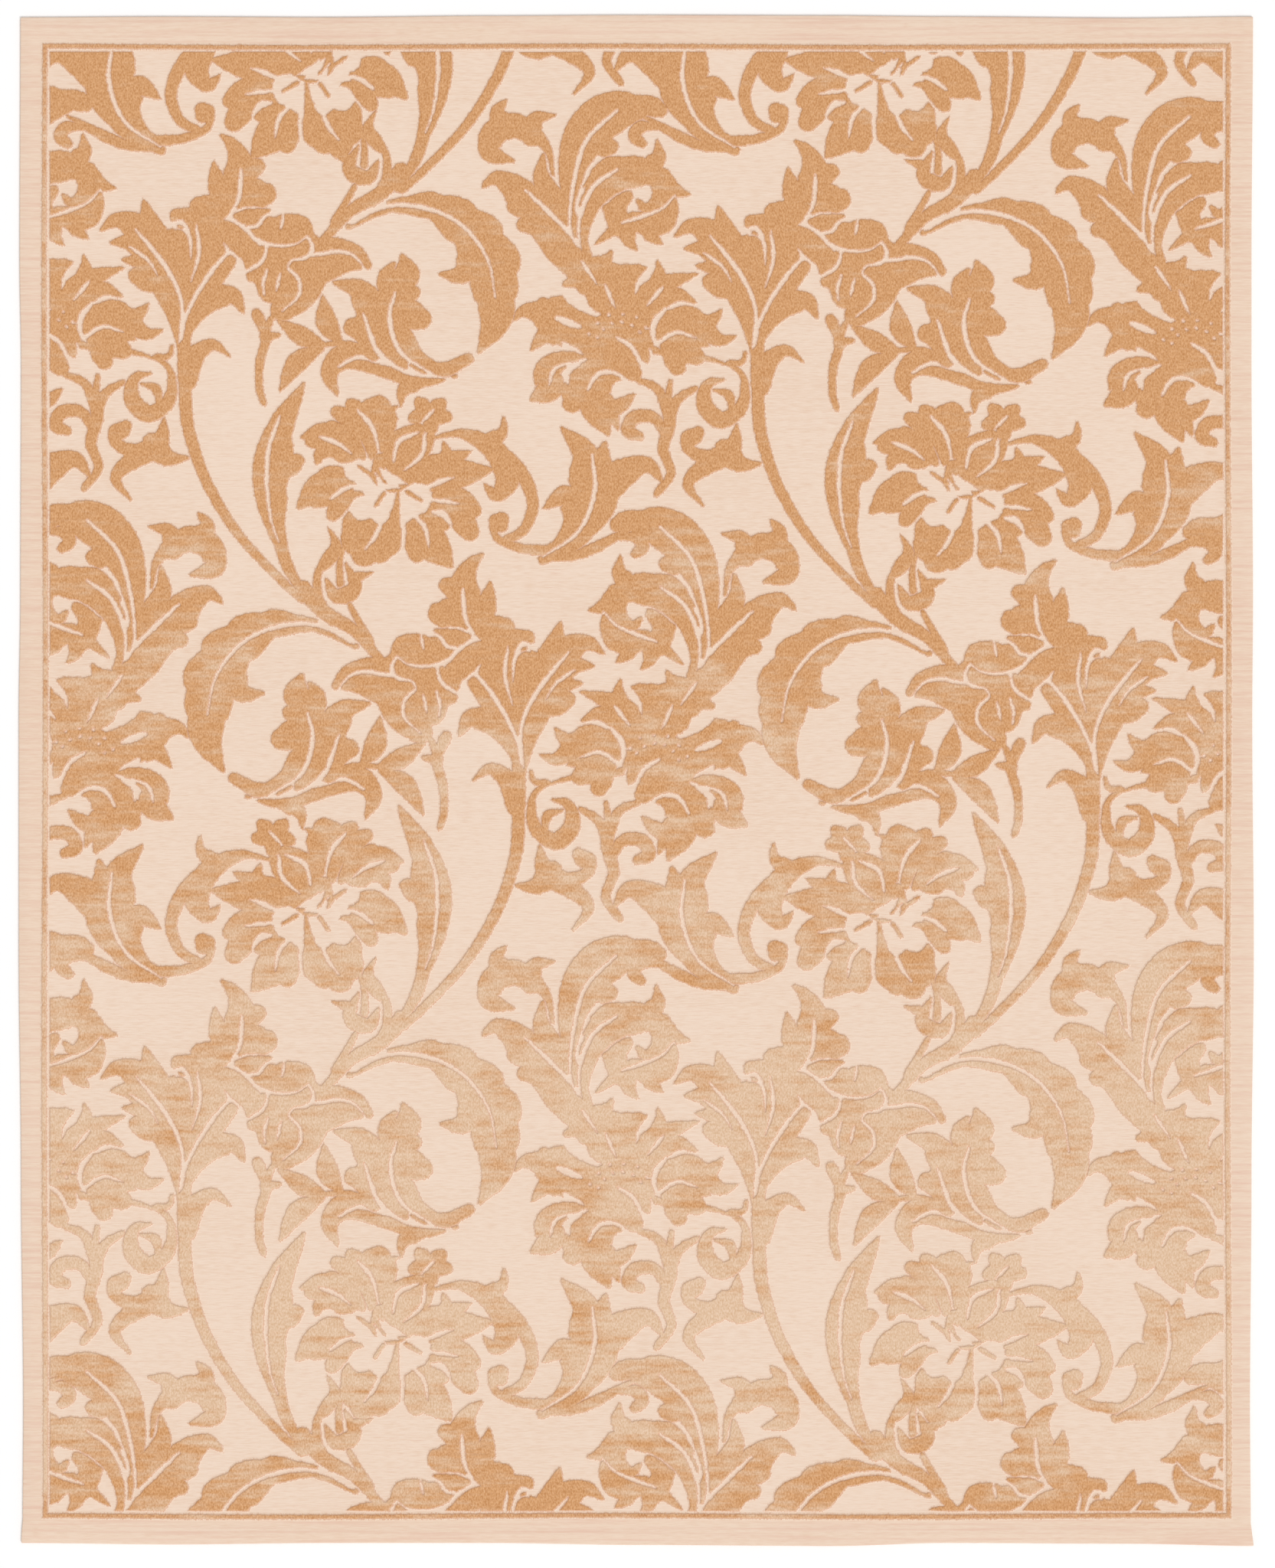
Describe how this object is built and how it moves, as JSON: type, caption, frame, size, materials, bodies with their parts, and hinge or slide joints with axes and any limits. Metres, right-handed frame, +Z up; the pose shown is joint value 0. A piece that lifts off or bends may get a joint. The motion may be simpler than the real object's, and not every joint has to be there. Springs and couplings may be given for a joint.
{
  "type": "room-size tibetan rug with a carved floral pile",
  "caption": "Large rectangular wool rug lying flat, with a low woven ground, a raised border line and a raised pile pattern of acanthus scrolls and flowers.",
  "frame": {"origin": "under the middle of the rug, on the face that lies on the floor", "axes": "+X to the right and +Y to the upper end, seen from above with the flowers upright, +Z up out of the pile"},
  "size_m": [2.446, 3.033, 0.0105],
  "materials": {
    "ground_wool": "pale peach wool, woven low and flat in fine uneven rows",
    "figure_silk": "golden cut pile of wool and silk, raised above the ground, brushed lighter and darker"
  },
  "bodies": {
    "root": {"rug": "ground_wool"}
  },
  "joints": []
}
